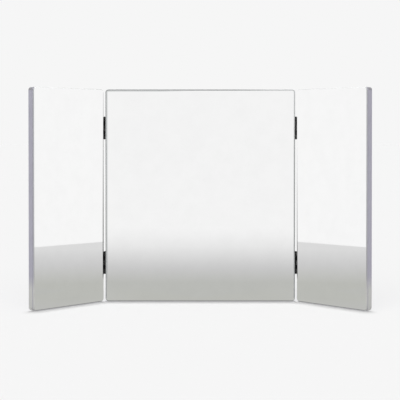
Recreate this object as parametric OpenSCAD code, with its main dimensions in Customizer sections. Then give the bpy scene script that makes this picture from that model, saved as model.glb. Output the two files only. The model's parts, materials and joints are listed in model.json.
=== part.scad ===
// Three-panel folding mirror for a dressing table.
// A centre panel and two wings stand on edge and face the user. Each panel is a mirror glass
// held by foam tape on a lacquered board. Two butt hinges a side let a wing swing from flat
// beside the centre panel to flat over its glass. Millimetres, front towards -Y, up is +Z.

/* [Panels] */
// Width of the centre panel
centre_w = 430; // [320:5:600]
// Height of every panel
panel_h = 480; // [360:5:700]
// How far each folded wing stops short of the middle of the centre panel
wing_short = 1; // [0.5:0.5:10]
// Radius of the panels' corners, seen from the front
corner_r = 7; // [3:0.5:12]
// Fold of each wing as the mirror stands, in degrees forward of flat
rest_fold = 50; // [0:1:90]

/* [Glass] */
// Thickness of the mirror glass
glass_t = 4; // [3:0.5:6]
// Width of the ground and polished chamfer round the glass front
arris = 1; // [0.5:0.1:2]
// How far the glass stops short of the board's edges, so that the hinge leaves bear on the board
glass_inset = 0.2; // [0.1:0.1:1]

/* [Tape] */
// Thickness of the foam tape between glass and board
tape_t = 0.8; // [0.5:0.1:1.5]
// Width of a strip of tape
tape_w = 20; // [10:1:30]
// Distance of the tape from the panel's edges, between its rounded corners
tape_inset = 1; // [0.5:0.5:15]
// Gap where two strips of tape meet
tape_gap = 1; // [0.5:0.5:5]
// Number of upright strips between the side strips of the centre panel
centre_uprights = 2; // [1:1:4]
// Number of upright strips between the side strips of a wing
wing_uprights = 1; // [0:1:2]

/* [Board] */
// Thickness of the board behind the glass
board_t = 12; // [9:1:18]
// Width of the eased edge round the board's back
board_ease = 0.4; // [0.3:0.1:2]

/* [Feet] */
// Diameter of a clear foot pad
foot_d = 8; // [5:0.5:9]
// Thickness of a foot pad
foot_t = 1.2; // [0.8:0.1:3]
// Width of the eased edge round a foot pad's underside
foot_ease = 0.3; // [0.1:0.1:0.6]
// Distance of a foot's centre from the panel's side
foot_inset = 30; // [15:1:60]

/* [Hinges] */
// Length of a hinge
hinge_len = 50.8; // [40:0.1:80]
// Distance of a hinge from the panel's top or bottom
hinge_inset = 62; // [40:1:90]
// Number of knuckles in a hinge, an odd number
knuckles = 5; // [3:2:7]
// Gap between two neighbouring knuckles
knuckle_gap = 0.2; // [0.1:0.05:0.5]
// Thickness of a hinge leaf
leaf_t = 0.8; // [0.7:0.1:1.5]
// Distance of a leaf's rear edge from the board's back
leaf_margin = 1; // [0.5:0.1:2]
// Radius of a leaf's rear corners
leaf_corner_r = 2; // [1:0.5:3]
// Diameter of the hinge pin
pin_d = 1.3; // [1.2:0.1:2.5]
// Radial clearance of the pin in its knuckles
pin_clear = 0.05; // [0.02:0.01:0.1]
// Thickness of the pin's heads, above and below the knuckles
pin_head_t = 0.6; // [0.4:0.1:1.2]
// Overhang of the pin's heads past the pin
pin_head_over = 0.6; // [0.3:0.1:0.8]
// Gap between the knuckles and a panel's edge
barrel_gap = 0.2; // [0.2:0.05:1]
// Gap between a leaf and the other leaf's knuckles
notch_gap = 0.25; // [0.2:0.05:1]
// Gap between two glass faces when a wing is folded flat over the centre
fold_gap = 1.6; // [1.5:0.1:6]

/* [Screws] */
// Number of screws in a hinge leaf
leaf_screws = 3; // [2:1:4]
// Diameter of a screw's shank
screw_d = 2.4; // [2:0.1:3]
// Length of a screw with its head
screw_len = 14; // [10:1:20]
// Length of a screw's point
screw_point = 2; // [1:0.5:3]
// Radius of the blunt tip of a screw's point
screw_tip_r = 0.2; // [0.1:0.1:0.5]
// Radial clearance of a screw in the leaf and the board
screw_clear = 0.05; // [0.02:0.01:0.1]
// Distance of the end screws from the leaf's ends
screw_end = 7.5; // [5:0.5:12]
// Width of a slot of the cross recess
recess_w = 0.6; // [0.4:0.1:0.8]
// Length of a slot of the cross recess
recess_len = 2.6; // [1.8:0.1:3]
// Depth of the cross recess
recess_depth = 0.7; // [0.4:0.1:0.8]

/* [Hidden] */

$fn = 48;
through = 1; // how far a cutting body runs past the face that it cuts

lacquer = "#A5A3AF";
mirror_grey = "#D9DDDE";
foam_grey = "#8C8C8E";
hinge_black = "#0C0C0D";
pad_clear = "#C9CCCC";

wing_w = centre_w / 2 - wing_short;
board_front = glass_t + tape_t;
panel_t = board_front + board_t;
board_mid = board_front + board_t / 2;

// The hinge, on its own axis: a knuckle's wall is as thick as a leaf
bore_r = pin_d / 2 + pin_clear;
barrel_r = bore_r + leaf_t;
half_slit = barrel_r + barrel_gap;
axis_out = fold_gap / 2;
knuckle_pitch = hinge_len / knuckles;
leaf_front = sqrt(max(0, pow(barrel_r + notch_gap, 2) - pow(half_slit - leaf_t, 2)));
leaf_back = axis_out + panel_t - leaf_margin;
crank_root = 0.9 * barrel_r; // the crank's outer side starts this far out, inside the barrel

// Screws stand in a row along the middle of the board's edge
screw_y = axis_out + board_mid;
screw_pitch = (hinge_len - 2 * screw_end) / (leaf_screws - 1);
head_r = screw_d / 2 + leaf_t;

// Lowest points of the hinges, and the hinge axis on the left in the panels' own frame
lower_z = foot_t + hinge_inset;
upper_z = foot_t + panel_h - hinge_inset - hinge_len;
axis_x = centre_w / 2 + half_slit;

// The mirror's front is a corner of a wing's glass, on either side of its chamfer, or a knuckle.
// Its back is the centre board. Its origin is midway between them.
reach = half_slit + wing_w;
glass_reach = reach - glass_inset;
chamfer_front_y = -axis_out - (glass_reach - arris) * sin(rest_fold) + axis_out * cos(rest_fold);
chamfer_side_y = -axis_out - glass_reach * sin(rest_fold) + (axis_out + arris) * cos(rest_fold);
front_y = min(chamfer_front_y, chamfer_side_y, -axis_out - barrel_r);
middle_y = (front_y + panel_t) / 2;

// A plate w by h by t with its corners rounded to r, chamfered by c round its top face: two bars
// of the plate's chamfered section cross each other, and a turned corner fills each corner
module plate_bar(length, base, t, c) {
    rotate([90, 0, 90]) linear_extrude(length)
        polygon([[0, 0], [base, 0], [base, t - c], [base - c, t], [c, t], [0, t - c]]);
}

module plate_corner(t, r, c) {
    rotate_extrude() polygon([[0, 0], [r, 0], [r, t - c], [r - c, t], [0, t]]);
}

module chamfered_plate(w, h, t, r, c) {
    translate([r, 0, 0]) plate_bar(w - 2 * r, h, t, c);
    translate([w, r, 0]) rotate([0, 0, 90]) plate_bar(h - 2 * r, w, t, c);
    for (x = [r, w - r], y = [r, h - r]) translate([x, y, 0]) plate_corner(t, r, c);
}

// The parts of one panel of width w, its left edge at x 0, its glass front at y 0
module glass(w) {
    glass_w = w - 2 * glass_inset;
    glass_h = panel_h - 2 * glass_inset;
    translate([glass_inset, glass_t, foot_t + glass_inset]) rotate([90, 0, 0])
        chamfered_plate(glass_w, glass_h, glass_t, corner_r - glass_inset, arris);
}

module board(w) {
    translate([0, board_front, foot_t]) mirror([0, 1, 0]) rotate([90, 0, 0])
        chamfered_plate(w, panel_h, board_t, corner_r, board_ease);
}

module tape_strip(x, z, w, h) {
    translate([x, glass_t, foot_t + z]) cube([w, tape_t, h]);
}

// Two upright strips at the sides, one between them at top and bottom, and uprights inside
module tape(w, inner_uprights) {
    side_z = max(tape_inset, corner_r);
    inner_x = tape_inset + tape_w + tape_gap;
    inner_w = w - 2 * inner_x;
    inner_z = tape_inset + tape_w + tape_gap;
    for (x = [tape_inset, w - tape_inset - tape_w])
        tape_strip(x, side_z, tape_w, panel_h - 2 * side_z);
    for (z = [tape_inset, panel_h - tape_inset - tape_w]) tape_strip(inner_x, z, inner_w, tape_w);
    for (i = [1 : 1 : inner_uprights])
        tape_strip(w * i / (inner_uprights + 1) - tape_w / 2, inner_z, tape_w, panel_h - 2 * inner_z);
}

module feet(w) {
    for (x = [foot_inset, w - foot_inset]) translate([x, board_mid, 0]) {
        cylinder(r1 = foot_d / 2 - foot_ease, r2 = foot_d / 2, h = foot_ease);
        translate([0, 0, foot_ease]) cylinder(d = foot_d, h = foot_t - foot_ease);
    }
}

// Heights of the screws above a hinge's lower end
function screw_heights() = [for (i = [0 : leaf_screws - 1]) screw_end + i * screw_pitch];

// Pilot holes into the board's edge at x 0, for both hinges
module edge_pilots() {
    for (hinge_z = [lower_z, upper_z], z = screw_heights())
        translate([-through, board_mid, hinge_z + z]) rotate([0, 90, 0])
            cylinder(d = screw_d + 2 * screw_clear, h = screw_len - leaf_t + 2 * through);
}

// One knuckle round the axis, cranked out to the leaf's plane on the +X side
module knuckle() {
    height = knuckle_pitch - knuckle_gap;
    linear_extrude(height) circle(barrel_r);
    linear_extrude(height) polygon([
        [half_slit - leaf_t, 0],
        [crank_root, 0],
        [half_slit, leaf_front],
        [half_slit, leaf_front + leaf_t],
        [half_slit - leaf_t, leaf_front + leaf_t],
    ]);
}

// The flat of a leaf, rounded at its rear corners
module leaf_flat() {
    depth = leaf_back - leaf_front;
    translate([half_slit - leaf_t, leaf_front, 0]) rotate([90, 0, 90]) linear_extrude(leaf_t) {
        square([depth - leaf_corner_r, hinge_len]);
        translate([0, leaf_corner_r]) square([depth, hinge_len - 2 * leaf_corner_r]);
        for (z = [leaf_corner_r, hinge_len - leaf_corner_r])
            translate([depth - leaf_corner_r, z]) circle(leaf_corner_r);
    }
}

// A leaf on the +X side of the hinge axis, which holds every second knuckle from the first one
module leaf(first) {
    difference() {
        union() {
            leaf_flat();
            for (i = [first : 2 : knuckles - 1])
                translate([0, 0, i * knuckle_pitch + knuckle_gap / 2]) knuckle();
        }
        translate([0, 0, -through]) cylinder(r = bore_r, h = hinge_len + 2 * through);
        for (z = screw_heights()) translate([half_slit - leaf_t, screw_y, z]) rotate([0, 90, 0])
            cylinder(r1 = head_r + screw_clear, r2 = screw_d / 2 + screw_clear, h = leaf_t);
    }
}

module pin() {
    cylinder(d = pin_d, h = hinge_len);
    translate([0, 0, hinge_len]) cylinder(r1 = pin_d / 2 + pin_head_over, r2 = pin_d / 2, h = pin_head_t);
    translate([0, 0, -pin_head_t]) cylinder(r1 = pin_d / 2, r2 = pin_d / 2 + pin_head_over, h = pin_head_t);
}

// A countersunk screw with its head's face at z 0 and its point down +Z
module screw() {
    difference() {
        union() {
            cylinder(r1 = head_r, r2 = screw_d / 2, h = leaf_t);
            translate([0, 0, leaf_t]) cylinder(d = screw_d, h = screw_len - leaf_t - screw_point);
            translate([0, 0, screw_len - screw_point])
                cylinder(r1 = screw_d / 2, r2 = screw_tip_r, h = screw_point);
        }
        for (turn = [0, 90]) rotate([0, 0, turn])
            translate([-recess_len / 2, -recess_w / 2, -through])
                cube([recess_len, recess_w, recess_depth + through]);
    }
}

// The screws of a leaf on the +X side
module screws() {
    for (z = screw_heights()) translate([half_slit - leaf_t, screw_y, z]) rotate([0, 90, 0]) screw();
}

// Where the parts stand. All of them are drawn for the left side and mirrored to the right.
module in_centre() {
    translate([-centre_w / 2, -middle_y, 0]) children();
}

module on_left_axis() {
    translate([-axis_x, -axis_out - middle_y, 0]) children();
}

// A wing's own frame: its left edge at x 0 and its glass front at y 0
module in_left_wing() {
    on_left_axis() rotate([0, 0, rest_fold]) translate([-reach, axis_out, 0]) children();
}

// A hinge's wing side: the leaf drawn on +X turns over to -X, then folds with the wing
module on_wing_side() {
    rotate([0, 0, rest_fold]) mirror([1, 0, 0]) children();
}

module to_right() {
    mirror([1, 0, 0]) children();
}

// The wing's hinged edge is at its own x wing_w, so its pilot holes are turned over to it
module wing_board() {
    difference() {
        board(wing_w);
        translate([wing_w, 0, 0]) mirror([1, 0, 0]) edge_pilots();
    }
}

module hinge_at(z) {
    on_left_axis() translate([0, 0, z]) children();
}

// The centre panel
module centre_board() {
    color(lacquer) in_centre() difference() {
        board(centre_w);
        edge_pilots();
        translate([centre_w, 0, 0]) mirror([1, 0, 0]) edge_pilots();
    }
}
module centre_tape() { color(foam_grey) in_centre() tape(centre_w, centre_uprights); }
module centre_glass() { color(mirror_grey) in_centre() glass(centre_w); }
module centre_feet() { color(pad_clear) in_centre() feet(centre_w); }

// The left wing
module left_board() { color(lacquer) in_left_wing() wing_board(); }
module left_tape() { color(foam_grey) in_left_wing() tape(wing_w, wing_uprights); }
module left_glass() { color(mirror_grey) in_left_wing() glass(wing_w); }
module left_feet() { color(pad_clear) in_left_wing() feet(wing_w); }

// The right wing
module right_board() { color(lacquer) to_right() in_left_wing() wing_board(); }
module right_tape() { color(foam_grey) to_right() in_left_wing() tape(wing_w, wing_uprights); }
module right_glass() { color(mirror_grey) to_right() in_left_wing() glass(wing_w); }
module right_feet() { color(pad_clear) to_right() in_left_wing() feet(wing_w); }

// The lower hinge on the left
module left_lower_centre_leaf() { color(hinge_black) hinge_at(lower_z) leaf(0); }
module left_lower_wing_leaf() { color(hinge_black) hinge_at(lower_z) on_wing_side() leaf(1); }
module left_lower_pin() { color(hinge_black) hinge_at(lower_z) pin(); }
module left_lower_centre_screws() { color(hinge_black) hinge_at(lower_z) screws(); }
module left_lower_wing_screws() { color(hinge_black) hinge_at(lower_z) on_wing_side() screws(); }

// The upper hinge on the left
module left_upper_centre_leaf() { color(hinge_black) hinge_at(upper_z) leaf(0); }
module left_upper_wing_leaf() { color(hinge_black) hinge_at(upper_z) on_wing_side() leaf(1); }
module left_upper_pin() { color(hinge_black) hinge_at(upper_z) pin(); }
module left_upper_centre_screws() { color(hinge_black) hinge_at(upper_z) screws(); }
module left_upper_wing_screws() { color(hinge_black) hinge_at(upper_z) on_wing_side() screws(); }

// The lower hinge on the right
module right_lower_centre_leaf() { to_right() left_lower_centre_leaf(); }
module right_lower_wing_leaf() { to_right() left_lower_wing_leaf(); }
module right_lower_pin() { to_right() left_lower_pin(); }
module right_lower_centre_screws() { to_right() left_lower_centre_screws(); }
module right_lower_wing_screws() { to_right() left_lower_wing_screws(); }

// The upper hinge on the right
module right_upper_centre_leaf() { to_right() left_upper_centre_leaf(); }
module right_upper_wing_leaf() { to_right() left_upper_wing_leaf(); }
module right_upper_pin() { to_right() left_upper_pin(); }
module right_upper_centre_screws() { to_right() left_upper_centre_screws(); }
module right_upper_wing_screws() { to_right() left_upper_wing_screws(); }

centre_board();
centre_tape();
centre_glass();
centre_feet();
left_board();
left_tape();
left_glass();
left_feet();
right_board();
right_tape();
right_glass();
right_feet();
left_lower_centre_leaf();
left_lower_wing_leaf();
left_lower_pin();
left_lower_centre_screws();
left_lower_wing_screws();
left_upper_centre_leaf();
left_upper_wing_leaf();
left_upper_pin();
left_upper_centre_screws();
left_upper_wing_screws();
right_lower_centre_leaf();
right_lower_wing_leaf();
right_lower_pin();
right_lower_centre_screws();
right_lower_wing_screws();
right_upper_centre_leaf();
right_upper_wing_leaf();
right_upper_pin();
right_upper_centre_screws();
right_upper_wing_screws();
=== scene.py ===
"""Dresses a three-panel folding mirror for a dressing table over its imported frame.

Three silvered panes are taped to lacquered boards, two black butt hinges a side carry the wings,
and the mirror stands in a pale studio. Metres, front towards -Y, up is +Z.
"""

import json
import math

import bpy
import numpy as np
from bpy.props import FloatProperty, FloatVectorProperty, IntProperty, PointerProperty
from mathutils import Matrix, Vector


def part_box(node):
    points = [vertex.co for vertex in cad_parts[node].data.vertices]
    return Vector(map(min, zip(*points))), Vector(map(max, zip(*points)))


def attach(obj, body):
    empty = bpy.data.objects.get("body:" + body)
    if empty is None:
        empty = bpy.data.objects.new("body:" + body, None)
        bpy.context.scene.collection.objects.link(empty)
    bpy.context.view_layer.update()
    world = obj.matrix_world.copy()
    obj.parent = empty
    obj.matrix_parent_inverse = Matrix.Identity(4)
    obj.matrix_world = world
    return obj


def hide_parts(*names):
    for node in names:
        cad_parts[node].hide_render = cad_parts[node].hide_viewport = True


bl_info = {
    "name": "Folding dressing table mirror",
    "version": (1, 0, 0),
    "blender": (4, 5, 0),
    "location": "View3D > Sidebar > Mirror",
    "description": "Builds the looks of a three-panel folding mirror and its studio",
    "category": "Object",
}

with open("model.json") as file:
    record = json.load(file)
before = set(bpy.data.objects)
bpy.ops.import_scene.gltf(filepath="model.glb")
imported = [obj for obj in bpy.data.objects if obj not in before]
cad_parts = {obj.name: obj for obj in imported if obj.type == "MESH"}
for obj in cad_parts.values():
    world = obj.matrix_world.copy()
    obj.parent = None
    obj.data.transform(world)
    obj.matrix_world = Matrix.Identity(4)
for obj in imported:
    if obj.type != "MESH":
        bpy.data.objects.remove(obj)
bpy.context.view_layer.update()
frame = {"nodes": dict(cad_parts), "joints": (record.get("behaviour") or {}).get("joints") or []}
MM = 0.001

# Each panel's body, and how far the panel is turned about +Z from lying flat beside the centre
TURNS = {j["child"]: -math.radians(j["range_deg"][0]) * j["axis"][2] for j in frame["joints"]}
PANELS = {
    "centre": ("centre_panel", 0.0),
    "left": ("left_wing", TURNS["left_wing"]),
    "right": ("right_wing", TURNS["right_wing"]),
}
HINGES = [f"{side}_{level}" for side in ("left", "right") for level in ("lower", "upper")]

# Where a finish changes over the mirror, in metres: first where it has not begun, then where it
# is full. OUT is a distance from the mirror's middle to either side, and HEIGHT is Z.
SHADE_OUT = (0.23, 0.33)  # a wing's own shade in its mirror, towards its lower outer corner
SHADE_HEIGHT = (0.024, 0.004)
GLARE_DISTANCE = (0.15, 0.03)  # a lamp's glare, from the centre pane's top right corner
FAINT_X = (-0.03, -0.09)  # the faint image, towards the left and up from the foot
FAINT_HEIGHT = (0.03, 0.09)
PALE_HEIGHT = (0.05, 0.30)  # the pale arris, up from the grey floor
FAR_OUT = (0.22, 0.32)  # a wing's top arris, towards its outer end
TOP_HEIGHT = 0.478  # only a pane's top arris lies higher
SLIT_HEIGHT = (0.050, 0.062)  # the slit image, up from its lower end
LOW_HEIGHT = (0.075, 0.045)  # the floor's light on the outer edges
OUTER_EDGE = 0.35  # only a wing's outer edge lies further out
TOP_SHADE_ABOVE = (0.473, 0.476)  # painted shade on the top corners of the wings' outer edges, between two heights
TOP_SHADE_BELOW = (0.4812, 0.4802)

# The slit image: how many of its widths are dark at the floor, in the left and the right wing,
# how that number changes over a metre of height, and a factor that sharpens the end of the dark
SLIT_REACH = (1.6, 1.12)
SLIT_FALL = -2.6
SLIT_CONTRAST = 3.0

SILVER_GLOSS = 0.03  # the roughness of clean silvering
SMOOTH_ANGLE = math.radians(30)  # flats that meet at less are shaded as one surface
EASE_ANGLE = math.radians(40)  # edges sharper than this are eased by powder coating
WELD_DISTANCE = 0.001 * MM  # joins a CAD node's loose triangles at their shared corners
# Shares of a foot pad's radius and height: the flat of its underside, and its domed rim
PAD_FLAT = 0.6
PAD_DOME = 0.8
# Share of a quarter turn by which the small flat on a hinge pin's head cuts its dome short
PIN_FLAT = 0.15


def linear(hex_colour):
    """Linear RGBA of an sRGB hex colour."""
    parts = [int(hex_colour[i : i + 2], 16) / 255 for i in (1, 3, 5)]
    return [p / 12.92 if p <= 0.04045 else ((p + 0.055) / 1.055) ** 2.4 for p in parts] + [1.0]


def length_prop(label, description, default):
    """A length in metres that the sidebar shows."""
    return FloatProperty(
        name=label, description=description, default=default, min=0.0, precision=5, unit="LENGTH"
    )


def colour_prop(label, description, hex_colour):
    """A colour that the sidebar shows, written as sRGB hex."""
    return FloatVectorProperty(
        name=label, description=description, default=linear(hex_colour), size=4, subtype="COLOR"
    )


class MirrorSizes(bpy.types.PropertyGroup):
    """Sizes of the finish details. The main sizes come from the frame."""

    arris: length_prop("Arris", "Width of the polished chamfer round a pane's front", 1.0 * MM)
    arris_image: length_prop(
        "Arris image", "Width of the band in which the silvering doubles the arris", 1.9 * MM
    )
    faint_image: length_prop(
        "Faint image", "Width of the paler band that follows it at the left", 2.2 * MM
    )
    slit_image: length_prop(
        "Slit image", "Width of the band that shows a wing's hinged edge", 2.5 * MM
    )
    seam: length_prop("Seamed edge", "Width of the rubbed-down edge round a pane's back", 0.2 * MM)
    pane_corner: length_prop("Pane corner", "Radius of a pane's corners", 6.8 * MM)
    board_corner: length_prop("Board corner", "Radius of a board's corners", 7.0 * MM)
    board_front_ease: length_prop("Front ease", "Rounding of a board's front edge", 0.3 * MM)
    board_back_ease: length_prop("Back ease", "Rounding of a board's back edge", 0.7 * MM)
    leaf_coat: length_prop("Leaf coat", "Thickness of a leaf's powder coat", 0.08 * MM)
    leaf_ease: length_prop("Leaf ease", "Rounding that powder coating gives a leaf", 0.12 * MM)
    pin_radius: length_prop("Pin radius", "Radius of a hinge pin between its heads", 0.6 * MM)
    pin_head: length_prop("Pin head", "Thickness of a hinge pin's heads", 0.6 * MM)
    corner_steps: IntProperty(
        name="Corner steps", description="Flats in a panel's rounded corner", default=10, min=2
    )
    ease_steps: IntProperty(
        name="Ease steps", description="Flats in an eased edge", default=5, min=1
    )
    turning_steps: IntProperty(
        name="Turning steps", description="Flats round a turned piece", default=40, min=8
    )


class MirrorFinishes(bpy.types.PropertyGroup):
    """Colours of the mirror's materials, and of the light, shade and reflections painted into them.
    """

    silver: colour_prop("Silver", "Reflection of the silvering through clear glass", "#F8F8F8")
    silver_haze: colour_prop("Silver haze", "Silvering where the glass was wiped", "#F6F6F6")
    silver_shade: colour_prop("Silver shade", "Silvering that shows a wing's own shade", "#F1F1F1")
    arris: colour_prop("Arris", "Chamfer of the centre pane", "#8C8E8E")
    # Painted reflections: the chamfer doubled by the silvering and repeated by the glass, and a
    # lamp's glare painted on the chamfer and on its image
    arris_image: colour_prop("Arris image", "The chamfer as the silvering doubles it", "#B6B8B8")
    arris_glare: colour_prop("Arris glare", "The chamfer where a lamp catches it", "#C2C4C4")
    image_glare: colour_prop("Image glare", "The arris image where a lamp catches it", "#D6D8D8")
    faint_image: colour_prop("Faint image", "The arris image as the glass repeats it", "#DCDEDE")
    # Painted reflections: a wing's chamfer takes the tones of the walls and the floor it faces
    arris_pale: colour_prop("Pale arris", "A wing's chamfer, facing bright walls", "#BCBEBE")
    arris_top: colour_prop("Top arris", "A wing's chamfer on top by the hinge", "#CCCECD")
    arris_far: colour_prop("Far arris", "A wing's chamfer on top at its outer end", "#E8EAE9")
    arris_low: colour_prop("Low arris", "A wing's chamfer near the grey floor", "#A4A6A5")
    # Painted reflection: a wing's dark hinged edge, seen through its glass
    slit_image: colour_prop("Slit image", "A wing's hinged edge, seen through its glass", "#141618")
    glass_edge: colour_prop("Glass edge", "Ground edge of the glass", "#B4B3BC")
    edge_low: colour_prop("Low edge", "The ground edge in the floor's light", "#CACAC8")
    backing: colour_prop("Backing paint", "Paint over the silver on the glass back", "#77797B")
    lacquer: colour_prop("Lacquer", "Violet-grey lacquer of the boards", "#B2B0BE")
    lacquer_thin: colour_prop("Thin lacquer", "The same where the coat is thinner", "#AEACBA")
    # Painted floor light: the lacquer pales to this grey low on a wing's outer edge
    primer: colour_prop("Primer", "Grey primer where the lacquer is worn off", "#CACAC8")
    # Painted shade: the lacquer darkens to this grey at a wing's outer top corner
    painted_top_shade: colour_prop("Soiled lacquer", "The lacquer where fingers push a wing", "#8C8B90")
    foam: colour_prop("Foam", "Foam of the mounting tape", "#DAD8E4")
    foam_cell: colour_prop("Foam cell", "Inside of the foam's open cells", "#C0BECA")
    foam_low: colour_prop("Low foam", "The foam in the floor's light", "#F8F8F6")
    coat_black: colour_prop("Powder coat", "Black powder coat of the hinges", "#060607")
    coat_worn: colour_prop("Worn coat", "The same where hands and leaves rub it", "#0C0C0D")
    oxide_black: colour_prop("Black oxide", "Oxidised steel of the screws", "#1B1B1D")
    oxide_bare: colour_prop("Bare steel", "Steel where a driver wore the oxide", "#3A3A3D")
    vinyl: colour_prop("Vinyl", "Clear soft vinyl of the foot pads", "#E9EDED")


class MirrorStudio(bpy.types.PropertyGroup):
    """The camera, the lights and the pale floor."""

    camera_distance: length_prop("Camera distance", "From the centre pane's front", 2.9272)
    camera_height: length_prop("Camera height", "Above the floor", 0.3819)
    camera_pitch: FloatProperty(
        name="Camera pitch",
        description="Angle below level",
        default=math.radians(0.855),
        subtype="ANGLE",
    )
    camera_lens: FloatProperty(
        name="Lens", description="Focal length, in millimetres", default=116.28, min=1.0
    )
    camera_shift_x: FloatProperty(name="Shift X", description="Share of the width", default=-0.0006)
    camera_shift_y: FloatProperty(name="Shift Y", description="Share of the width", default=-0.1187)
    backdrop: colour_prop("Backdrop", "Floor and background as the camera sees them", "#F6F6F6")
    sky_level: FloatProperty(
        name="Sky level", description="Radiance of the even light from all round", default=0.3
    )
    top_level: FloatProperty(
        name="Top light", description="The floor's light from the top lamp", default=0.72
    )
    front_level: FloatProperty(
        name="Front light", description="The floor's light from the front lamp", default=0.2
    )


def add_node(tree, kind, inputs=None, stops=None, **settings):
    """Adds a shader node with its settings and ramp stops. An input takes a value or a link. A
    Mix of colours has its share in socket 0, the colours in 6 and 7, and the result in output 2."""
    made = tree.nodes.new("ShaderNode" + kind)
    for key, value in settings.items():
        setattr(made, key, value)
    if stops:
        points = made.color_ramp.elements
        points.remove(points[1])
        points[0].position = stops[0][0]
        points[0].color = stops[0][1]
        for place, colour in stops[1:]:
            points.new(place).color = colour
    for socket, value in (inputs or {}).items():
        if isinstance(value, bpy.types.Node):
            value = value.outputs[0]
        if isinstance(value, bpy.types.NodeSocket):
            tree.links.new(value, made.inputs[socket])
        else:
            made.inputs[socket].default_value = value
    return made


def span(value, none, full):
    """Inputs with which a MapRange rises from 0 at one value to 1 at another."""
    return {"Value": value, "From Min": none, "From Max": full}


def object_axes(tree):
    """The frame's X, Y and Z of the shaded point."""
    place = add_node(tree, "TexCoord").outputs["Object"]
    return add_node(tree, "SeparateXYZ", {"Vector": place}).outputs


def distance_out(tree):
    """Distance of the shaded point from the mirror's middle, to either side."""
    return add_node(tree, "Math", {0: object_axes(tree)["X"]}, operation="ABSOLUTE")


def low_outside(tree):
    """Share of the painted floor light: 1 low on the wings' outer edges, and 0 elsewhere."""
    outer = add_node(tree, "Math", {0: distance_out(tree), 1: OUTER_EDGE}, operation="GREATER_THAN")
    low = add_node(tree, "MapRange", span(object_axes(tree)["Z"], *LOW_HEIGHT))
    return add_node(tree, "Math", {0: outer, 1: low}, operation="MULTIPLY")


def silvered_float_glass(tree, finish):
    """Float glass silvered on its back: a near-perfect mirror. Rolled glass has a slight long
    wave that bends what it mirrors, and wiping leaves a faint haze. Low at its outer end a
    wing shows the floor in its own shade."""
    place = add_node(tree, "TexCoord").outputs["Object"]
    wave = add_node(tree, "TexNoise", {"Vector": place, "Scale": 1 / (90 * MM), "Detail": 0.0})
    wipes = add_node(tree, "TexNoise", {"Vector": place, "Scale": 1 / (30 * MM), "Detail": 4.0})
    tone = add_node(
        tree, "ValToRGB", {"Fac": wipes}, [(0.35, finish.silver), (0.7, finish.silver_haze)]
    )
    out = add_node(tree, "MapRange", span(distance_out(tree), *SHADE_OUT))
    low = add_node(tree, "MapRange", span(object_axes(tree)["Z"], *SHADE_HEIGHT))
    shade = add_node(tree, "Math", {0: out, 1: low}, operation="MULTIPLY")
    tone = add_node(
        tree, "Mix", {0: shade, 6: tone, 7: finish.silver_shade}, data_type="RGBA"
    ).outputs[2]
    haze = add_node(tree, "MapRange", {"Value": wipes, "To Min": 0.012, "To Max": 0.03})
    bend = add_node(tree, "Bump", {"Height": wave, "Strength": 1.0, "Distance": 0.012 * MM})
    return add_node(
        tree,
        "BsdfPrincipled",
        {"Base Color": tone, "Metallic": 1.0, "Roughness": haze, "Normal": bend},
    )


def polished_edge(tree, tone):
    """Glass ground flat and polished, with the last marks of the wheel along the edge, 25 mm long
    and 0.25 mm wide."""
    scale = (1 / (25 * MM), 1 / (0.25 * MM), 1)
    marks = add_node(tree, "Mapping", {"Vector": add_node(tree, "UVMap"), "Scale": scale})
    streaks = add_node(tree, "TexNoise", {"Vector": marks, "Scale": 1.0, "Detail": 2.0})
    gloss = add_node(tree, "MapRange", {"Value": streaks, "To Min": 0.06, "To Max": 0.14})
    return add_node(tree, "BsdfPrincipled", {"Base Color": tone, "Roughness": gloss, "IOR": 1.52})


def rim_tone(tree, tone, glare):
    """A rim's tone that pales to another where a lamp catches the centre pane's top right corner.
    Its share is smooth in the distance from that corner."""
    low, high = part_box("centre_glass")
    place = add_node(tree, "TexCoord").outputs["Object"]
    away = add_node(
        tree, "VectorMath", {0: place, 1: (high.x, low.y, high.z)}, operation="DISTANCE"
    )
    share = add_node(
        tree,
        "MapRange",
        span(away.outputs["Value"], *GLARE_DISTANCE),
        interpolation_type="SMOOTHSTEP",
    )
    return add_node(tree, "Mix", {0: share, 6: tone, 7: glare}, data_type="RGBA").outputs[2]


def polished_glass_arris(tree, finish):
    """The chamfer, flat ground and polished: a grey line with a sharp gloss."""
    return polished_edge(tree, rim_tone(tree, finish.arris, finish.arris_glare))


def silvered_arris_image(tree, finish):
    """A band just inside the centre pane's chamfer, where the silvering, 4 mm behind, shows the
    chamfer a second time: a painted reflection, a paler grey line beside the first."""
    return polished_edge(tree, rim_tone(tree, finish.arris_image, finish.image_glare))


def silvered_tone(tree, share, silver, tone):
    """A clean mirror that takes on another tone by a share."""
    mixed = add_node(tree, "Mix", {0: share, 6: silver, 7: tone}, data_type="RGBA").outputs[2]
    return add_node(
        tree, "BsdfPrincipled", {"Base Color": mixed, "Metallic": 1.0, "Roughness": SILVER_GLOSS}
    )


def silvered_faint_image(tree, finish):
    """A still paler band beside that one, where glass and silvering mirror the chamfer once more,
    as a painted reflection: it shows along the left edge, and dies out along the top and towards
    the floor."""
    axes = object_axes(tree)
    left = add_node(tree, "MapRange", span(axes["X"], *FAINT_X))
    above = add_node(tree, "MapRange", span(axes["Z"], *FAINT_HEIGHT))
    share = add_node(tree, "Math", {0: left, 1: above}, operation="MULTIPLY")
    return silvered_tone(tree, share, finish.silver, finish.faint_image)


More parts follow.
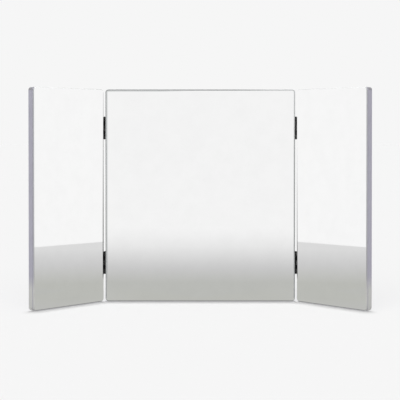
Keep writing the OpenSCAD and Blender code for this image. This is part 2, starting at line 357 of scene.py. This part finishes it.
def polished_pale_arris(tree, finish):
    """The chamfer where it faces a bright wall, with its reflections painted in: pale, so that it
    hardly shows beside the silvering, palest on top towards a wing's outer end, and greyer
    towards the floor."""
    height = object_axes(tree)["Z"]
    rise = add_node(
        tree, "MapRange", span(height, *PALE_HEIGHT), interpolation_type="SMOOTHSTEP"
    )
    tone = add_node(
        tree, "Mix", {0: rise, 6: finish.arris_low, 7: finish.arris_pale}, data_type="RGBA"
    ).outputs[2]
    out = add_node(tree, "MapRange", span(distance_out(tree), *FAR_OUT))
    lit = add_node(
        tree, "Mix", {0: out, 6: finish.arris_top, 7: finish.arris_far}, data_type="RGBA"
    ).outputs[2]
    top = add_node(tree, "Math", {0: height, 1: TOP_HEIGHT}, operation="GREATER_THAN")
    tone = add_node(tree, "Mix", {0: top, 6: tone, 7: lit}, data_type="RGBA").outputs[2]
    tone = add_node(
        tree, "Mix", {0: low_outside(tree), 6: tone, 7: finish.edge_low}, data_type="RGBA"
    ).outputs[2]
    return polished_edge(tree, tone)


def silvered_slit_image(tree, finish):
    """The band beside a wing's hinged edge, where the turned pane shows its own dark edge through
    the glass: a painted reflection that darkens downwards and ends above the floor, fainter in
    the right wing."""
    axes = object_axes(tree)
    right = add_node(tree, "Math", {0: axes["X"], 1: 0.0}, operation="GREATER_THAN")
    start = add_node(
        tree, "MapRange", {"Value": right, "To Min": SLIT_REACH[0], "To Max": SLIT_REACH[1]}
    )
    reach = add_node(
        tree, "Math", {0: axes["Z"], 1: SLIT_FALL, 2: start}, operation="MULTIPLY_ADD"
    )
    across = add_node(tree, "SeparateXYZ", {"Vector": add_node(tree, "UVMap")}).outputs["Y"]
    width = bpy.context.scene.mirror_sizes.slit_image
    inwards = add_node(
        tree, "MapRange", {"Value": across, "From Max": width, "To Min": -1.0, "To Max": 0.0}
    )
    dark = add_node(tree, "Math", {0: reach, 1: inwards}, operation="ADD")
    depth = add_node(
        tree, "Math", {0: dark, 1: SLIT_CONTRAST}, operation="MULTIPLY", use_clamp=True
    )
    above = add_node(tree, "MapRange", span(axes["Z"], *SLIT_HEIGHT))
    share = add_node(tree, "Math", {0: depth, 1: above}, operation="MULTIPLY")
    return silvered_tone(tree, share, finish.silver, finish.slit_image)


def ground_glass_edge(tree, finish):
    """The pane's edge, ground with a fine wheel: matt neutral grey with streaks along it, 20 mm
    long and 0.4 mm wide, and paler on the outer sides near the floor, where the floor's light
    is painted in."""
    scale = (1 / (20 * MM), 1 / (0.4 * MM), 1)
    marks = add_node(tree, "Mapping", {"Vector": add_node(tree, "UVMap"), "Scale": scale})
    streaks = add_node(tree, "TexNoise", {"Vector": marks, "Scale": 1.0, "Detail": 3.0})
    gloss = add_node(tree, "MapRange", {"Value": streaks, "To Min": 0.22, "To Max": 0.4})
    relief = add_node(tree, "Bump", {"Height": streaks, "Strength": 0.3, "Distance": 0.02 * MM})
    tone = add_node(
        tree,
        "Mix",
        {0: low_outside(tree), 6: finish.glass_edge, 7: finish.edge_low},
        data_type="RGBA",
    ).outputs[2]
    return add_node(
        tree,
        "BsdfPrincipled",
        {"Base Color": tone, "Roughness": gloss, "IOR": 1.52, "Normal": relief},
    )


def sprayed_backing_paint(tree, finish):
    """Paint that seals the silver on the glass's back: dull grey with a fine spray grain."""
    place = add_node(tree, "TexCoord").outputs["Object"]
    grain = add_node(tree, "TexNoise", {"Vector": place, "Scale": 1 / (0.8 * MM), "Detail": 2.0})
    relief = add_node(tree, "Bump", {"Height": grain, "Strength": 0.4, "Distance": 0.03 * MM})
    return add_node(
        tree, "BsdfPrincipled", {"Base Color": finish.backing, "Roughness": 0.6, "Normal": relief}
    )


def satin_coat(tree, finish, low, high):
    """Polyurethane lacquer sprayed on fibreboard, with a low orange peel. Real peel is 1 to 2 mm
    across and is drawn 3 mm here, so that it shows. Low is the share of a paler grey painted in
    as the floor's light, and high the share of a darker grey painted in as shade."""
    place = add_node(tree, "TexCoord").outputs["Object"]
    cloud = add_node(tree, "TexNoise", {"Vector": place, "Scale": 1 / (40 * MM), "Detail": 3.0})
    tone = add_node(
        tree, "ValToRGB", {"Fac": cloud}, [(0.35, finish.lacquer), (0.65, finish.lacquer_thin)]
    )
    tone = add_node(tree, "Mix", {0: low, 6: tone, 7: finish.primer}, data_type="RGBA").outputs[2]
    tone = add_node(tree, "Mix", {0: high, 6: tone, 7: finish.painted_top_shade}, data_type="RGBA").outputs[2]
    peel = add_node(tree, "TexNoise", {"Vector": place, "Scale": 1 / (3 * MM), "Detail": 1.0})
    relief = add_node(tree, "Bump", {"Height": peel, "Strength": 0.5, "Distance": 0.05 * MM})
    satin = add_node(tree, "MapRange", {"Value": cloud, "To Min": 0.3, "To Max": 0.42})
    return add_node(
        tree,
        "BsdfPrincipled",
        {
            "Base Color": tone,
            "Roughness": satin,
            "IOR": 1.48,
            "Coat Weight": 0.15,
            "Coat Roughness": 0.2,
            "Normal": relief,
        },
    )


def sprayed_satin_lacquer(tree, finish):
    """The lacquer of the boards: an even satin violet-grey."""
    return satin_coat(tree, finish, 0.0, 0.0)


def satin_lacquer_painted_light(tree, finish):
    """The same on a wing's outer edge, with painted light and shade: a neutral grey low down that
    stands for the floor's light, and a darker grey at its top corner that stands for shade."""
    height = object_axes(tree)["Z"]
    above = add_node(tree, "MapRange", span(height, *TOP_SHADE_ABOVE))
    below = add_node(tree, "MapRange", span(height, *TOP_SHADE_BELOW))
    high = add_node(tree, "Math", {0: above, 1: below}, operation="MULTIPLY")
    return satin_coat(tree, finish, low_outside(tree), high)


def cut_foam_tape(tree, finish):
    """Closed-cell foam tape, cut with a blade: matt grey with pinholes where cells were cut.
    Real cells are 0.2 mm across and are drawn 0.4 mm here."""
    place = add_node(tree, "TexCoord").outputs["Object"]
    cells = add_node(tree, "TexVoronoi", {"Vector": place, "Scale": 1 / (0.4 * MM)})
    tone = add_node(
        tree, "ValToRGB", {"Fac": cells}, [(0.1, finish.foam_cell), (0.45, finish.foam)]
    )
    # Painted floor light: the foam pales low on the wings' outer edges
    tone = add_node(
        tree, "Mix", {0: low_outside(tree), 6: tone, 7: finish.foam_low}, data_type="RGBA"
    ).outputs[2]
    relief = add_node(tree, "Bump", {"Height": cells, "Strength": 0.6, "Distance": 0.1 * MM})
    return add_node(
        tree, "BsdfPrincipled", {"Base Color": tone, "Roughness": 0.92, "Normal": relief}
    )


def powder_coated_steel(tree, finish):
    """Black powder coat on pressed steel: a fine pebbled texture, 0.5 mm across, with a low
    sheen and slightly paler where it is rubbed."""
    place = add_node(tree, "TexCoord").outputs["Object"]
    pebble = add_node(tree, "TexNoise", {"Vector": place, "Scale": 1 / (0.5 * MM), "Detail": 2.0})
    rub = add_node(tree, "TexNoise", {"Vector": place, "Scale": 1 / (8 * MM), "Detail": 3.0})
    tone = add_node(
        tree, "ValToRGB", {"Fac": rub}, [(0.5, finish.coat_black), (0.75, finish.coat_worn)]
    )
    gloss = add_node(tree, "MapRange", {"Value": rub, "To Min": 0.5, "To Max": 0.36})
    relief = add_node(tree, "Bump", {"Height": pebble, "Strength": 0.5, "Distance": 0.04 * MM})
    return add_node(
        tree,
        "BsdfPrincipled",
        {"Base Color": tone, "Roughness": gloss, "Specular IOR Level": 0.06, "Normal": relief},
    )


def black_oxide_steel(tree, finish):
    """Black oxide on steel screws: a dark metal with small bare spots from the driver."""
    place = add_node(tree, "TexCoord").outputs["Object"]
    wear = add_node(tree, "TexNoise", {"Vector": place, "Scale": 1 / (1.5 * MM), "Detail": 3.0})
    tone = add_node(
        tree, "ValToRGB", {"Fac": wear}, [(0.55, finish.oxide_black), (0.7, finish.oxide_bare)]
    )
    gloss = add_node(tree, "MapRange", {"Value": wear, "To Min": 0.45, "To Max": 0.3})
    return add_node(
        tree, "BsdfPrincipled", {"Base Color": tone, "Metallic": 1.0, "Roughness": gloss}
    )


def cast_clear_vinyl(tree, finish):
    """Soft clear vinyl cast as a bumper: see-through, with a faintly tacky, dusty skin."""
    place = add_node(tree, "TexCoord").outputs["Object"]
    dust = add_node(tree, "TexNoise", {"Vector": place, "Scale": 1 / (1 * MM), "Detail": 2.0})
    skin = add_node(tree, "MapRange", {"Value": dust, "To Min": 0.12, "To Max": 0.3})
    return add_node(
        tree,
        "BsdfPrincipled",
        {
            "Base Color": finish.vinyl,
            "Roughness": skin,
            "IOR": 1.53,
            "Transmission Weight": 0.85,
        },
    )


def material(recipe):
    """The material that a recipe function makes, under the recipe's own name."""
    found = bpy.data.materials.get(recipe.__name__)
    if found is None:
        found = bpy.data.materials.new(recipe.__name__)
        found.use_nodes = True
        found.node_tree.nodes.clear()
        surface = recipe(found.node_tree, bpy.context.scene.mirror_finishes)
        add_node(found.node_tree, "OutputMaterial", {"Surface": surface})
    return found


def turned(points, angle):
    """Points turned about the frame's +Z by an angle."""
    c, s = math.cos(angle), math.sin(angle)
    return points @ np.array([[c, s, 0], [-s, c, 0], [0, 0, 1]])


def mesh_points(mesh):
    """A mesh's vertices as the rows of one array."""
    points = np.zeros(len(mesh.vertices) * 3)
    mesh.vertices.foreach_get("co", points)
    return points.reshape(-1, 3)


def own_box(node, turn):
    """Lowest and highest corner of a CAD node along its panel's own axes: width, depth, height."""
    points = turned(mesh_points(frame["nodes"][node].data), -turn)
    return points.min(0), points.max(0)


def rounded_rings(low, high, radius, insets, depths, steps):
    """Rings round a panel with rounded corners. A point is its corner's centre plus (radius less
    inset) times the cosine and sine of an angle that runs a quarter turn in each corner, and
    lies the ring's depth behind the panel's front."""
    quarter = np.linspace(0, math.pi / 2, steps + 1)
    angles = (np.arange(4)[:, None] * math.pi / 2 + quarter).ravel()
    corners = np.array([[high[0], low[0], low[0], high[0]], [high[2], high[2], low[2], low[2]]])
    inwards = radius * np.array([[-1, 1, 1, -1], [-1, -1, 1, 1]])
    centre_x, centre_z = np.repeat(corners + inwards, steps + 1, axis=1)
    reach = radius - np.asarray(insets)[:, None]
    x = centre_x + reach * np.cos(angles)
    z = centre_z + reach * np.sin(angles)
    y = np.broadcast_to(low[1] + np.asarray(depths)[:, None], x.shape)
    return np.stack([x, y, z], axis=2)


def turned_rings(centre, radii, heights, steps):
    """Rings of a turned piece about an upright axis. A point is the axis plus the ring's radius
    times the cosine and sine of an angle that runs a full turn."""
    angles = np.linspace(0, 2 * math.pi, steps, endpoint=False)
    x = centre[0] + np.asarray(radii)[:, None] * np.cos(angles)
    y = centre[1] + np.asarray(radii)[:, None] * np.sin(angles)
    z = np.broadcast_to(np.asarray(heights)[:, None], x.shape)
    return np.stack([x, y, z], axis=2)


def ring_faces(rows, count, start):
    """Quads between neighbouring rings, and one face over each end, as index lists."""
    index = start + np.arange(rows * count).reshape(rows, count)
    after = np.roll(index, -1, axis=1)
    quads = np.stack([index[:-1], after[:-1], after[1:], index[1:]], axis=2).reshape(-1, 4)
    return quads.tolist() + [index[0, ::-1].tolist(), index[-1].tolist()]


def ring_uv(rings):
    """For each quad corner, the distance round the piece and the distance across its section, in
    metres. The end faces take their place in the panel's plane."""
    step = np.linalg.norm(np.roll(rings[0], -1, axis=0) - rings[0], axis=1)
    round_it = np.concatenate([[0], np.cumsum(step)])
    across = np.concatenate([[0], np.cumsum(np.linalg.norm(np.diff(rings[:, 0], axis=0), axis=1))])
    u = np.stack([round_it[:-1], round_it[1:], round_it[1:], round_it[:-1]], axis=1)
    v = np.stack([across[:-1], across[:-1], across[1:], across[1:]], axis=1)
    corners = np.stack(
        [np.tile(u, (len(rings) - 1, 1)), np.repeat(v, len(step), axis=0)], axis=2
    ).reshape(-1, 2)
    return np.concatenate([corners, rings[0, ::-1][:, [0, 2]], rings[-1][:, [0, 2]]])


def volume_sign(mesh):
    """The sign of the volume that a mesh encloses: the sum, over the triangles that fill its
    faces, of the first corner times the cross product of the other two."""
    mesh.calc_loop_triangles()
    index = np.zeros(len(mesh.loop_triangles) * 3, np.int32)
    mesh.loop_triangles.foreach_get("vertices", index)
    a, b, c = mesh_points(mesh)[index.reshape(-1, 3)].transpose(1, 0, 2)
    return np.sign(np.sum(a * np.cross(b, c)))


def ring_piece(name, stacks, turn, finishes, bands):
    """An object made of stacks of closed rings, turned into the frame. Bands gives the finish of
    each strip between two rings, as one number or one for each flat of the strip, and then of
    the first and the last face."""
    faces, uvs, slots, start = [], [], [], 0
    for rings in stacks:
        faces += ring_faces(len(rings), rings.shape[1], start)
        uvs.append(ring_uv(rings))
        slots += [np.broadcast_to(band, rings.shape[1]) for band in bands[:-2]] + [bands[-2:]]
        start += len(rings) * rings.shape[1]
    points = np.concatenate([rings.reshape(-1, 3) for rings in stacks])
    mesh = bpy.data.meshes.new(name)
    mesh.from_pydata(turned(points, turn).tolist(), [], faces)
    mesh.uv_layers.new(name="surface").data.foreach_set("uv", np.concatenate(uvs).ravel())
    mesh.polygons.foreach_set("material_index", np.concatenate(slots))
    if volume_sign(mesh) < 0:
        mesh.flip_normals()
    for recipe in finishes:
        mesh.materials.append(material(recipe))
    mesh.shade_smooth()
    mesh.set_sharp_from_angle(angle=SMOOTH_ANGLE)
    piece = bpy.data.objects.new(name, mesh)
    bpy.context.scene.collection.objects.link(piece)
    return piece


def stand_in(piece, node, body):
    """Lets a piece ride on its body in place of a CAD node. Mirrors don't show it."""
    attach(piece, body)
    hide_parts(node)
    piece.visible_glossy = False


def dress(node, recipe):
    """Gives a CAD node, whose own shape stays, its finish."""
    piece = frame["nodes"][node]
    for slot in piece.material_slots:
        slot.material = material(recipe)
    piece.visible_glossy = False


# The finishes of a pane and of a board, and their places among the piece's materials
PANE_FINISHES = (
    silvered_float_glass,
    ground_glass_edge,
    sprayed_backing_paint,
    polished_pale_arris,
    polished_glass_arris,
    silvered_arris_image,
    silvered_slit_image,
    silvered_faint_image,
)
SILVER, EDGE, PAINT, PALE_ARRIS, ARRIS, IMAGE, SLIT, FAINT = range(len(PANE_FINISHES))
BOARD_FINISHES = (sprayed_satin_lacquer, satin_lacquer_painted_light)
SPRAYED, PAINTED_EDGE = range(len(BOARD_FINISHES))


class MIRROR_OT_panes(bpy.types.Operator):
    """Builds the three silvered panes with their polished arrises and ground edges"""

    bl_idname = "mirror.panes"
    bl_label = "Mirror panes"

    def execute(self, context):
        size = context.scene.mirror_sizes
        corner = size.corner_steps + 1
        flats = 4 * corner
        # The flats of a ring that run along a panel's own sides. The others lie in its corners.
        top, low_side, foot, high_side = (n * corner - 1 for n in (1, 2, 3, 4))
        for panel, (body, turn) in PANELS.items():
            low, high = own_box(f"{panel}_glass", turn)
            thick = high[1] - low[1]
            image = np.full(flats, SILVER)
            if panel == "centre":
                faint = np.full(flats, SILVER)
                faint[top : low_side + 1] = FAINT
                image[: low_side + 1] = IMAGE
                image[high_side] = IMAGE
                arris = np.full(flats, ARRIS)
                arris[low_side] = PALE_ARRIS
                widths, images = [size.faint_image, size.arris_image], [faint, image]
            else:
                image[high_side if panel == "left" else low_side] = SLIT
                arris = np.full(flats, PALE_ARRIS)
                arris[foot] = ARRIS
                widths, images = [size.slit_image], [image]
            starts = [size.arris + sum(widths[i:]) for i in range(len(widths))]
            insets = starts + [size.arris, 0, 0, size.seam]
            depths = [0] * len(starts) + [0, size.arris, thick - size.seam, thick]
            rings = rounded_rings(low, high, size.pane_corner, insets, depths, size.corner_steps)
            bands = images + [arris, EDGE, EDGE, SILVER, PAINT]
            piece = ring_piece(f"{panel}_pane", [rings], turn, PANE_FINISHES, bands)
            stand_in(piece, f"{panel}_glass", body)
        return {"FINISHED"}


class MIRROR_OT_boards(bpy.types.Operator):
    """Builds the three lacquered boards with their eased edges"""

    bl_idname = "mirror.boards"
    bl_label = "Lacquered boards"

    def execute(self, context):
        size = context.scene.mirror_sizes
        corner = size.corner_steps + 1
        quarter = np.linspace(0, math.pi / 2, size.ease_steps + 1)
        front, back = size.board_front_ease, size.board_back_ease
        for panel, (body, turn) in PANELS.items():
            low, high = own_box(f"{panel}_board", turn)
            thick = high[1] - low[1]
            insets = np.concatenate([front * (1 - np.sin(quarter)), back * (1 - np.cos(quarter))])
            depths = np.concatenate(
                [front * (1 - np.cos(quarter)), thick - back * (1 - np.sin(quarter))]
            )
            rings = rounded_rings(low, high, size.board_corner, insets, depths, size.corner_steps)
            # A wing's outer edge, with the corners above and below it
            edge = np.full(4 * corner, SPRAYED)
            if panel == "left":
                edge[corner : 3 * corner - 1] = PAINTED_EDGE
            elif panel == "right":
                edge[: corner - 1] = PAINTED_EDGE
                edge[3 * corner :] = PAINTED_EDGE
            bands = [SPRAYED] * (len(rings) + 1)
            bands[size.ease_steps] = edge
            piece = ring_piece(f"{panel}_back", [rings], turn, BOARD_FINISHES, bands)
            stand_in(piece, f"{panel}_board", body)
        return {"FINISHED"}


class MIRROR_OT_tape(bpy.types.Operator):
    """Finishes the strips of foam tape between panes and boards"""

    bl_idname = "mirror.tape"
    bl_label = "Foam tape"

    def execute(self, context):
        for panel in PANELS:
            dress(f"{panel}_tape", cut_foam_tape)
        return {"FINISHED"}


class MIRROR_OT_foot_pads(bpy.types.Operator):
    """Builds the clear foot pads, two under each panel, with domed rims"""

    bl_idname = "mirror.foot_pads"
    bl_label = "Foot pads"

    def execute(self, context):
        size = context.scene.mirror_sizes
        quarter = np.linspace(0, math.pi / 2, size.ease_steps + 1)
        for panel, (body, turn) in PANELS.items():
            low, high = own_box(f"{panel}_feet", turn)
            radius, height = (high[1] - low[1]) / 2, high[2] - low[2]
            flat, dome = PAD_FLAT * radius, PAD_DOME * height
            radii = np.append(flat + (radius - flat) * np.sin(quarter), radius)
            heights = np.append(low[2] + dome * (1 - np.cos(quarter)), high[2])
            middles = [(x, (low[1] + high[1]) / 2) for x in (low[0] + radius, high[0] - radius)]
            stacks = [turned_rings(m, radii, heights, size.turning_steps) for m in middles]
            bands = [0] * (len(radii) + 1)
            piece = ring_piece(f"{panel}_pads", stacks, turn, [cast_clear_vinyl], bands)
            stand_in(piece, f"{panel}_feet", body)
        return {"FINISHED"}


class MIRROR_OT_hinge_leaves(bpy.types.Operator):
    """Finishes the eight hinge leaves and rounds their edges as powder coating does"""

    bl_idname = "mirror.hinge_leaves"
    bl_label = "Hinge leaves"

    def execute(self, context):
        size = context.scene.mirror_sizes
        for leaf in [f"{hinge}_{half}_leaf" for hinge in HINGES for half in ("centre", "wing")]:
            dress(leaf, powder_coated_steel)
            node = frame["nodes"][leaf]
            weld = node.modifiers.new("close_seams", "WELD")
            weld.merge_threshold = WELD_DISTANCE
            coat = node.modifiers.new("powder_coat", "DISPLACE")
            coat.mid_level = 0.0
            coat.strength = size.leaf_coat
            bevel = node.modifiers.new("ease_edges", "BEVEL")
            bevel.width = size.leaf_ease
            bevel.segments = 2
            bevel.limit_method = "ANGLE"
            bevel.angle_limit = EASE_ANGLE
        return {"FINISHED"}


class MIRROR_OT_hinge_pins(bpy.types.Operator):
    """Builds the four hinge pins with their domed heads"""

    bl_idname = "mirror.hinge_pins"
    bl_label = "Hinge pins"

    def execute(self, context):
        size = context.scene.mirror_sizes
        quarter = np.linspace(PIN_FLAT * math.pi / 2, math.pi / 2, size.ease_steps + 1)
        for hinge in HINGES:
            low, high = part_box(f"{hinge}_pin")
            middle, head_radius = (low + high) / 2, (high.x - low.x) / 2
            dome_r = head_radius * np.sin(quarter)
            dome_z = size.pin_head * (1 - np.cos(quarter))
            radii = np.concatenate([dome_r, [size.pin_radius] * 2, dome_r[::-1]])
            shank = [low.z + size.pin_head, high.z - size.pin_head]
            heights = np.concatenate([low.z + dome_z, shank, high.z - dome_z[::-1]])
            rings = turned_rings(middle, radii, heights, size.turning_steps)
            bands = [0] * (len(rings) + 1)
            piece = ring_piece(f"{hinge}_hinge_pin", [rings], 0.0, [powder_coated_steel], bands)
            stand_in(piece, f"{hinge}_pin", "centre_panel")
        return {"FINISHED"}


class MIRROR_OT_screws(bpy.types.Operator):
    """Finishes the countersunk screws of the eight leaves"""

    bl_idname = "mirror.screws"
    bl_label = "Hinge screws"

    def execute(self, context):
        for hinge in HINGES:
            for half in ("centre", "wing"):
                dress(f"{hinge}_{half}_screws", black_oxide_steel)
        return {"FINISHED"}


# The studio's tones in the mirrors: distance from the mirror in metres, and tone. Towards the
# camera the grey floor pales smoothly, and to the sides it ends in a clear edge before a wall.
FRONT_TONES = [
    (0.30, "#BFC0BC"),
    (0.64, "#CECECE"),
    (1.00, "#E0E0E0"),
    (1.35, "#EEEEEE"),
    (1.80, "#F7F7F7"),
    (2.20, "#FBFBFB"),
]
SIDE_TONES = [(0.15, "#BFC0BB"), (0.60, "#D0D0D0"), (1.12, "#E1E1E1")]
TONE_REACH = 2.5  # the distance that a ramp of tones spans
WALL_FRONT = linear("#FBFBFB")
WALL_SIDE = linear("#FEFEFE")
# Where the front tones give way to the side tones: on the floor angles from straight ahead, in
# radians, and on the wall the sideways part of the way there
FLOOR_TURN = (0.5, 1.2)
WALL_TURN = (0.2, 0.8)
# The paper's half width, which grows backwards between two places on the frame's Y
PAPER_Y = (0.0, 0.5)
PAPER_HALF = (1.224, 1.599)
# Share of its own light with which the floor keeps the shadow as pale as photographed
FLOOR_GLOW = 0.25
FLOOR_REACH = 40.0  # from the mirror to the floor's sides
# The lamps: the way from the mirror to each, and its angle across. The top one stands a little
# behind the mirror, and its shade falls forwards.
TOP_WAY = (0.0, 0.055, 1.0)
TOP_WIDTH = math.radians(5.0)
FRONT_WAY = (-0.12, -1.0, 0.8)
FRONT_WIDTH = math.radians(70.0)
SENSOR_WIDTH = 36.0  # millimetres, as the lens is


def mirrored_rays(tree):
    """1 for a ray that the camera sees through a mirror or clear vinyl, and 0 for light that
    first fell on something matt, which makes its diffuse depth 1 or more."""
    path = add_node(tree, "LightPath").outputs
    straight = add_node(tree, "Math", {0: path["Diffuse Depth"], 1: 0.5}, operation="LESS_THAN")
    seen = add_node(
        tree,
        "Math",
        {0: path["Is Glossy Ray"], 1: path["Is Transmission Ray"]},
        operation="MAXIMUM",
    )
    return add_node(tree, "Math", {0: straight, 1: seen}, operation="MULTIPLY")


def tone_stops(tones):
    """Ramp stops of reflected tones, at their share of the ramp's reach."""
    return [(distance / TONE_REACH, linear(tone)) for distance, tone in tones]


def studio_floor(tree, studio, light_level):
    """Seamless paper: a matt pale floor that keeps the shadow. In the mirrors it shows as the
    grey paper of the photograph, which pales with distance and ends at its side edges."""
    back = object_axes(tree)["Y"]
    away = add_node(tree, "Math", {0: back, 1: -1.0}, operation="MULTIPLY")
    aside = distance_out(tree)
    ramps = []
    for distance, tones in ((away, FRONT_TONES), (aside, SIDE_TONES)):
        share = add_node(tree, "Math", {0: distance, 1: TONE_REACH}, operation="DIVIDE")
        ramps.append(add_node(tree, "ValToRGB", {"Fac": share}, tone_stops(tones)))
    angle = add_node(tree, "Math", {0: aside, 1: away}, operation="ARCTAN2")
    sideways = add_node(
        tree, "MapRange", span(angle, *FLOOR_TURN), interpolation_type="SMOOTHSTEP"
    )
    paper = add_node(
        tree, "Mix", {0: sideways, 6: ramps[0], 7: ramps[1]}, data_type="RGBA"
    ).outputs[2]
    wall = add_node(
        tree, "Mix", {0: sideways, 6: WALL_FRONT, 7: WALL_SIDE}, data_type="RGBA"
    ).outputs[2]
    half = add_node(
        tree,
        "MapRange",
        {**span(back, *PAPER_Y), "To Min": PAPER_HALF[0], "To Max": PAPER_HALF[1]},
    )
    past = add_node(tree, "Math", {0: aside, 1: half}, operation="GREATER_THAN")
    seen = add_node(tree, "Mix", {0: past, 6: paper, 7: wall}, data_type="RGBA").outputs[2]
    mirrored = add_node(tree, "Emission", {"Color": seen})
    level = [c / light_level for c in studio.backdrop[:3]] + [1.0]
    matt = add_node(tree, "BsdfDiffuse", {"Color": level})
    glow = add_node(tree, "Emission", {"Color": studio.backdrop})
    lit = add_node(tree, "MixShader", {0: FLOOR_GLOW, 1: matt, 2: glow})
    return add_node(tree, "MixShader", {0: mirrored_rays(tree), 1: lit, 2: mirrored})


def studio_world(tree, studio):
    """Even light from all round. The camera sees the backdrop's colour, and the mirrors a wall
    that is a shade greyer in front than at the sides."""
    way = add_node(tree, "SeparateXYZ", {"Vector": add_node(tree, "TexCoord")})
    aside = add_node(tree, "Math", {0: way.outputs["X"]}, operation="ABSOLUTE")
    stops = list(zip(WALL_TURN, (WALL_FRONT, WALL_SIDE)))
    wall = add_node(tree, "ValToRGB", {"Fac": aside}, stops)
    sky = [studio.sky_level] * 3 + [1.0]
    lit = add_node(
        tree, "Mix", {0: mirrored_rays(tree), 6: sky, 7: wall}, data_type="RGBA"
    ).outputs[2]
    camera_ray = add_node(tree, "LightPath").outputs["Is Camera Ray"]
    shown = add_node(
        tree, "Mix", {0: camera_ray, 6: lit, 7: studio.backdrop}, data_type="RGBA"
    ).outputs[2]
    back = add_node(tree, "Background", {"Color": shown})
    add_node(tree, "OutputWorld", {"Surface": back})


def add_sun(name, towards, width, floor_share, shadow):
    """A soft far lamp that gives the floor that share of a level of 1. Towards is the direction
    from the mirror to the lamp, and width the lamp's angle across. Mirrors don't show it."""
    lamp = bpy.data.lights.new(name, "SUN")
    lamp.angle = width
    lamp.use_shadow = shadow
    slope = towards[2] / math.sqrt(sum(t * t for t in towards))
    lamp.energy = floor_share * math.pi / slope
    sun = bpy.data.objects.new(name, lamp)
    sun.rotation_mode = "QUATERNION"
    sun.rotation_quaternion = Vector(towards).to_track_quat("Z", "Y")
    sun.visible_glossy = False
    bpy.context.scene.collection.objects.link(sun)


class MIRROR_OT_stage(bpy.types.Operator):
    """Builds the studio: floor, backdrop, lamps and the camera at the photograph's angle"""

    bl_idname = "mirror.stage"
    bl_label = "Studio and camera"

    def execute(self, context):
        studio = context.scene.mirror_studio
        scene = context.scene
        scene.view_settings.view_transform = "Standard"

        mesh = bpy.data.meshes.new("floor")
        signs = ((-1, -1), (1, -1), (1, 1), (-1, 1))
        corners = [(x * FLOOR_REACH, y * FLOOR_REACH, 0) for x, y in signs]
        mesh.from_pydata(corners, [], [(0, 1, 2, 3)])
        floor = bpy.data.objects.new("floor", mesh)
        scene.collection.objects.link(floor)
        light_level = studio.sky_level + studio.top_level + studio.front_level
        paper = bpy.data.materials.new("seamless_paper")
        paper.use_nodes = True
        paper.node_tree.nodes.clear()
        surface = studio_floor(paper.node_tree, studio, light_level)
        add_node(paper.node_tree, "OutputMaterial", {"Surface": surface})
        mesh.materials.append(paper)

        world = bpy.data.worlds.new("studio_world")
        world.use_nodes = True
        world.node_tree.nodes.clear()
        studio_world(world.node_tree, studio)
        scene.world = world

        add_sun("top_light", TOP_WAY, TOP_WIDTH, studio.top_level, True)
        add_sun("front_light", FRONT_WAY, FRONT_WIDTH, studio.front_level, False)

        camera = bpy.data.cameras.new("camera")
        camera.lens = studio.camera_lens
        camera.sensor_width = SENSOR_WIDTH
        camera.shift_x = studio.camera_shift_x
        camera.shift_y = studio.camera_shift_y
        camera.clip_end = 2 * FLOOR_REACH
        view = bpy.data.objects.new("camera", camera)
        pane_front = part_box("centre_glass")[0].y
        view.location = (0.0, pane_front - studio.camera_distance, studio.camera_height)
        view.rotation_euler = (math.pi / 2 - studio.camera_pitch, 0.0, 0.0)
        scene.collection.objects.link(view)
        scene.camera = view
        return {"FINISHED"}


PIECE_OPERATORS = (
    MIRROR_OT_stage,
    MIRROR_OT_panes,
    MIRROR_OT_boards,
    MIRROR_OT_tape,
    MIRROR_OT_foot_pads,
    MIRROR_OT_hinge_leaves,
    MIRROR_OT_hinge_pins,
    MIRROR_OT_screws,
)


class MIRROR_PT_parts(bpy.types.Panel):
    """Lists the settings and the pieces of the mirror"""

    bl_label = "Folding mirror"
    bl_space_type = "VIEW_3D"
    bl_region_type = "UI"
    bl_category = "Mirror"

    def draw(self, context):
        for group in ("mirror_sizes", "mirror_finishes", "mirror_studio"):
            settings = getattr(context.scene, group)
            box = self.layout.box()
            for name in settings.__annotations__:
                box.prop(settings, name)
        for operator in PIECE_OPERATORS:
            self.layout.operator(operator.bl_idname)


GROUPS = {
    "mirror_sizes": MirrorSizes,
    "mirror_finishes": MirrorFinishes,
    "mirror_studio": MirrorStudio,
}


def register():
    """Adds the classes and the scene's settings to Blender."""
    for made in (*GROUPS.values(), *PIECE_OPERATORS, MIRROR_PT_parts):
        bpy.utils.register_class(made)
    for name, group in GROUPS.items():
        setattr(bpy.types.Scene, name, PointerProperty(type=group))


def unregister():
    """Takes them out again."""
    for name in GROUPS:
        delattr(bpy.types.Scene, name)
    for made in (MIRROR_PT_parts, *reversed(PIECE_OPERATORS), *reversed(GROUPS.values())):
        bpy.utils.unregister_class(made)


def main():
    """Builds the studio and the mirror's pieces."""
    register()
    for operator in PIECE_OPERATORS:
        area, name = operator.bl_idname.split(".")
        getattr(getattr(bpy.ops, area), name)()


if __name__ == "__main__":
    main()
